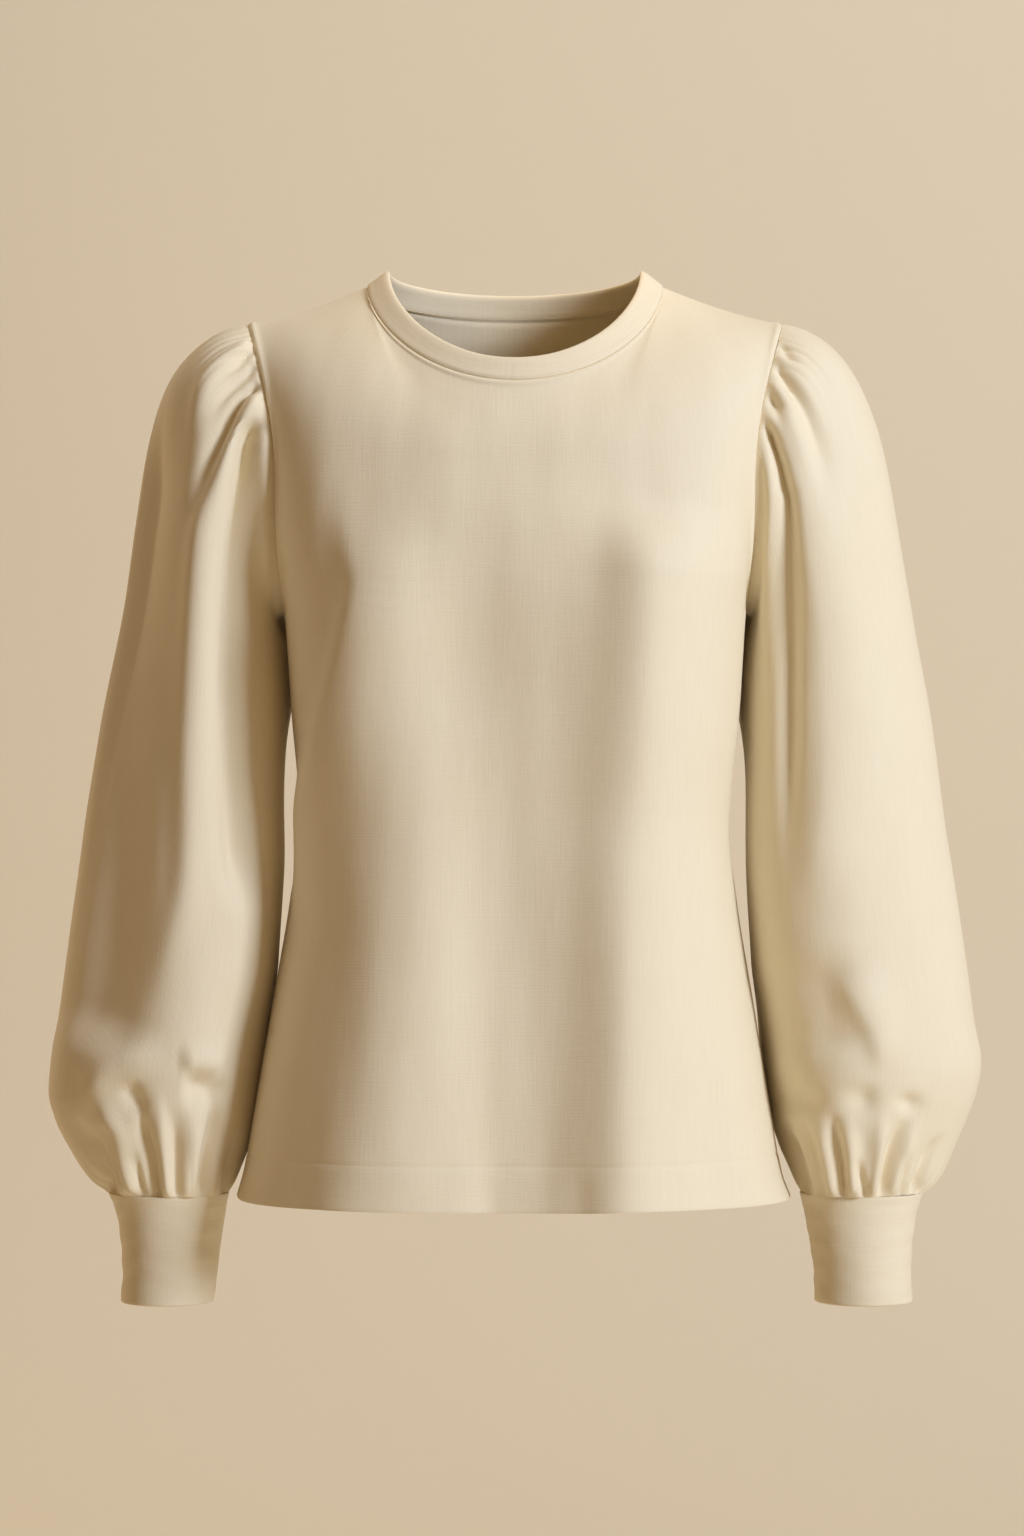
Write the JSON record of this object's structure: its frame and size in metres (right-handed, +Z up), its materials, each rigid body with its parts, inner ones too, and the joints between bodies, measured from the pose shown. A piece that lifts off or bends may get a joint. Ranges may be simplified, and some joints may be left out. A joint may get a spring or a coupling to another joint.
{
  "type": "blouse",
  "caption": "Worn long-sleeved cream blouse: crew neckband, gathered puff sleeves, deep tapered cuffs, shaped waist and turned-up hem",
  "frame": {"origin": "middle of the neck opening, midway between the two high shoulder points, where the wearer holds the blouse up", "axes": "+X to the wearer's left, -Y to the front, +Z up"},
  "size_m": [0.6077, 0.2393, 0.6702],
  "materials": {
    "front_cloth": "matt woven cloth with a soft sheen",
    "back_cloth": "matt woven cloth with a soft sheen",
    "neckband_cloth": "matt woven cloth with a soft sheen",
    "sleeve_left_cloth": "matt woven cloth with a soft sheen",
    "sleeve_right_cloth": "matt woven cloth with a soft sheen",
    "cuff_left_cloth": "matt woven cloth with a soft sheen",
    "cuff_right_cloth": "matt woven cloth with a soft sheen"
  },
  "bodies": {
    "root": {"front": "front_cloth", "back": "back_cloth", "neckband": "neckband_cloth", "sleeve_left": "sleeve_left_cloth", "sleeve_right": "sleeve_right_cloth", "cuff_left": "cuff_left_cloth", "cuff_right": "cuff_right_cloth"}
  },
  "joints": []
}
